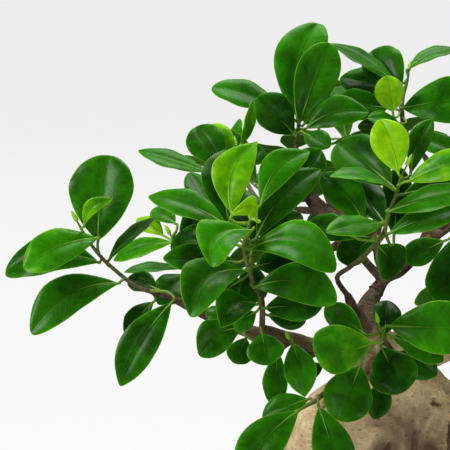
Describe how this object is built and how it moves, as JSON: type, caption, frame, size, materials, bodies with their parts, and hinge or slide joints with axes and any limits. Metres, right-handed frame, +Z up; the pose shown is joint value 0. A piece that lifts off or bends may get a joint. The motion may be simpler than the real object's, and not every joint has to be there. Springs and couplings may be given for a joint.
{
  "type": "ficus ginseng bonsai",
  "caption": "Potted ficus ginseng bonsai: bare swollen roots, forking limbs and shoots of glossy oval leaves over a plain round pot.",
  "frame": {"origin": "middle of the pot's flat underside, on the surface that it stands on", "axes": "+Z up; +Y away from the viewer and +X to the right in the picture's view"},
  "size_m": [0.3648, 0.2705, 0.3716],
  "materials": {
    "pot_glaze": "gloss",
    "screen_mesh": "matte",
    "soil_mix": "matte",
    "bark": "matte",
    "leaf": "satin"
  },
  "bodies": {
    "root": {"pot": "pot_glaze", "drain_screen_left": "screen_mesh", "drain_screen_right": "screen_mesh", "soil": "soil_mix", "roots_and_limbs": "bark", "shoot_left": "leaf", "shoot_left_back": "leaf", "shoot_middle": "leaf", "shoot_low_left": "leaf", "shoot_low_middle": "leaf", "shoot_low_front": "leaf", "shoot_low_right": "leaf", "shoot_right": "leaf", "shoot_top_left": "leaf", "shoot_top": "leaf", "shoot_top_right": "leaf", "shoot_inner": "leaf", "shoot_right_front": "leaf", "shoot_right_low": "leaf", "shoot_right_end": "leaf", "shoot_right_upper": "leaf", "shoot_right_inner": "leaf", "shoot_right_back": "leaf", "shoot_right_crown": "leaf", "shoot_right_under": "leaf", "shoot_back_end": "leaf", "shoot_back_upper": "leaf", "shoot_back_low": "leaf", "shoot_back_left": "leaf", "shoot_back_under": "leaf", "shoot_top_end": "leaf"}
  },
  "joints": []
}
